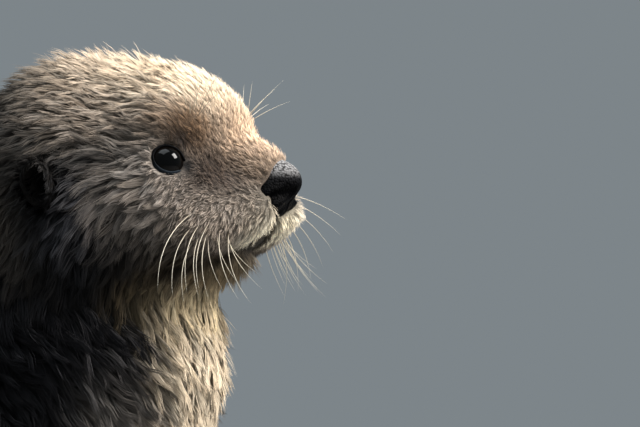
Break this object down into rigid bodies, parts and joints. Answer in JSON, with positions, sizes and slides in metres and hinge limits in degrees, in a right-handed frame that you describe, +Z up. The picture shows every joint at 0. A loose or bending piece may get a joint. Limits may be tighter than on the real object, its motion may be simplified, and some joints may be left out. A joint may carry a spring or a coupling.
{
  "type": "sea otter",
  "caption": "Life-size still model of a young sea otter sitting with its forepaws down, neck upright and head level, tail laid straight behind.",
  "frame": {"origin": "on the floor, under the middle of the animal's length and width", "axes": "+X ahead, the way the nose points; +Y to the animal's left; +Z up"},
  "size_m": [0.6198, 0.2824, 0.305],
  "materials": {
    "crown_fur": "short dense tan fur",
    "chest_fur": "longer cream fur in locks",
    "back_fur": "brown fur",
    "foot": "very short dark brown fur",
    "nose": "moist black pebbled skin",
    "eye": "wet, very dark brown",
    "ear": "thinly furred skin",
    "claw": "dark horn"
  },
  "bodies": {
    "root": {"head": "crown_fur", "lower_jaw": "chest_fur", "neck": "chest_fur", "trunk": "back_fur", "tail": "back_fur", "nose_pad": "nose", "eye_left": "eye", "eye_right": "eye", "ear_left": "ear", "ear_right": "ear", "foreleg_left": "back_fur", "foreleg_right": "back_fur", "forepaw_left": "foot", "forepaw_right": "foot", "thigh_left": "back_fur", "thigh_right": "back_fur", "hind_flipper_left": "foot", "hind_flipper_right": "foot", "fore_claw_1_left": "claw", "fore_claw_1_right": "claw", "fore_claw_2_left": "claw", "fore_claw_2_right": "claw", "fore_claw_3_left": "claw", "fore_claw_3_right": "claw", "fore_claw_4_left": "claw", "fore_claw_4_right": "claw", "fore_claw_5_left": "claw", "fore_claw_5_right": "claw", "hind_claw_1_left": "claw", "hind_claw_1_right": "claw", "hind_claw_2_left": "claw", "hind_claw_2_right": "claw", "hind_claw_3_left": "claw", "hind_claw_3_right": "claw", "hind_claw_4_left": "claw", "hind_claw_4_right": "claw", "hind_claw_5_left": "claw", "hind_claw_5_right": "claw"}
  },
  "joints": []
}
